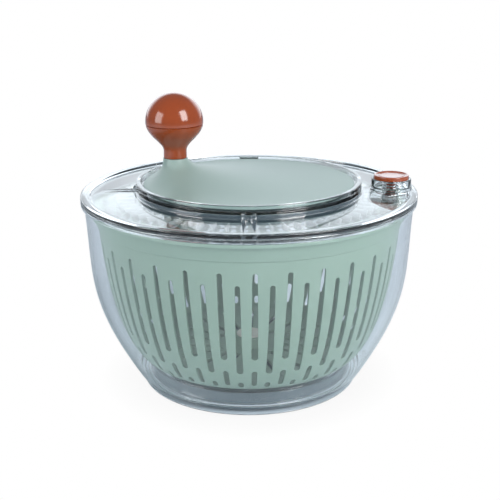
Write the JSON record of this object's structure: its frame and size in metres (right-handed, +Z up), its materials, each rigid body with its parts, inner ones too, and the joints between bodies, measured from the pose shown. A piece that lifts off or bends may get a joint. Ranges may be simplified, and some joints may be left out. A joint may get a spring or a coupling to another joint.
{
  "type": "salad spinner",
  "caption": "Salad spinner with a clear bowl, a slotted turning basket, and a clear lid with a geared crank disc, a ball knob and a push-button brake.",
  "frame": {"origin": "centre of the foot ring's resting face", "axes": "+Z up along the bowl's axis, +X from the crank's axis towards the brake button, -Y towards the front"},
  "size_m": [0.25, 0.25, 0.2187],
  "materials": {
    "clear_plastic": "clear moulded styrene, polished",
    "smoke_plastic": "smoke grey moulded plastic, satin",
    "sage_plastic": "sage green moulded polypropylene, fine satin",
    "terracotta_plastic": "terracotta moulded plastic, glossy",
    "white_nylon": "natural moulded nylon",
    "steel": "bright zinc-plated and stainless steel",
    "brake_rubber": "dark grey moulded rubber"
  },
  "bodies": {
    "bowl": {"bowl": "clear_plastic", "base_plate": "smoke_plastic", "bowl_pivot": "steel"},
    "bush": {"basket_bush": "white_nylon"},
    "basket": {"basket": "sage_plastic"},
    "lid": {"lid": "clear_plastic", "gear_cover": "smoke_plastic", "cover_screws": "steel", "planet_axle_1": "steel", "planet_axle_2": "steel", "planet_axle_3": "steel", "brake_spring": "steel"},
    "planet_1": {"planet_gear_1": "white_nylon"},
    "planet_2": {"planet_gear_2": "white_nylon"},
    "planet_3": {"planet_gear_3": "white_nylon"},
    "drive": {"sun_gear": "white_nylon", "drive_plate": "clear_plastic", "shaft_washer": "steel", "shaft_screw": "steel"},
    "crank": {"crank_disc": "sage_plastic", "ring_gear": "white_nylon", "disc_screws": "steel", "knob_post": "steel", "knob_washer": "steel", "knob_screw": "steel"},
    "knob": {"knob_lower": "terracotta_plastic", "knob_upper": "terracotta_plastic"},
    "brake": {"brake_button": "terracotta_plastic", "brake_stem": "terracotta_plastic", "brake_pad": "brake_rubber"}
  },
  "joints": [
    {"name": "basket_lift", "type": "slide", "parent": "bowl", "child": "bush", "axis": [0, 0, 1], "range_m": [0, 0.16]},
    {"name": "basket_spin", "type": "hinge", "parent": "bush", "child": "basket", "pos_m": [0, 0, 0.026], "axis": [0, 0, 1], "continuous": true},
    {"name": "lid_lift", "type": "slide", "parent": "bush", "child": "lid", "axis": [0, 0, 1], "range_m": [0, 0.15]},
    {"name": "crank_spin", "type": "hinge", "parent": "lid", "child": "crank", "pos_m": [0, 0, 0.145], "axis": [0, 0, 1], "continuous": true},
    {"name": "planet_1_spin", "type": "hinge", "parent": "lid", "child": "planet_1", "pos_m": [0, 0.036, 0.1435], "axis": [0, 0, 1], "continuous": true},
    {"name": "planet_2_spin", "type": "hinge", "parent": "lid", "child": "planet_2", "pos_m": [-0.03118, -0.018, 0.1435], "axis": [0, 0, 1], "continuous": true},
    {"name": "planet_3_spin", "type": "hinge", "parent": "lid", "child": "planet_3", "pos_m": [0.03118, -0.018, 0.1435], "axis": [0, 0, 1], "continuous": true},
    {"name": "drive_spin", "type": "hinge", "parent": "lid", "child": "drive", "pos_m": [0, 0, 0.14], "axis": [0, 0, 1], "continuous": true},
    {"name": "knob_spin", "type": "hinge", "parent": "crank", "child": "knob", "pos_m": [-0.0544, 0, 0.18], "axis": [0, 0, 1], "continuous": true},
    {"name": "brake_press", "type": "slide", "parent": "lid", "child": "brake", "axis": [0, 0, -1], "range_m": [0, 0.0035], "stiffness_N_per_m": 500, "springref_m": -0.004, "deforming": ["brake_spring"]}
  ],
  "couplings": [
    {"joint": "planet_1_spin", "follows": "crank_spin", "ratio": 3},
    {"joint": "planet_2_spin", "follows": "crank_spin", "ratio": 3},
    {"joint": "planet_3_spin", "follows": "crank_spin", "ratio": 3},
    {"joint": "drive_spin", "follows": "crank_spin", "ratio": -3},
    {"joint": "basket_spin", "follows": "crank_spin", "ratio": -3}
  ]
}
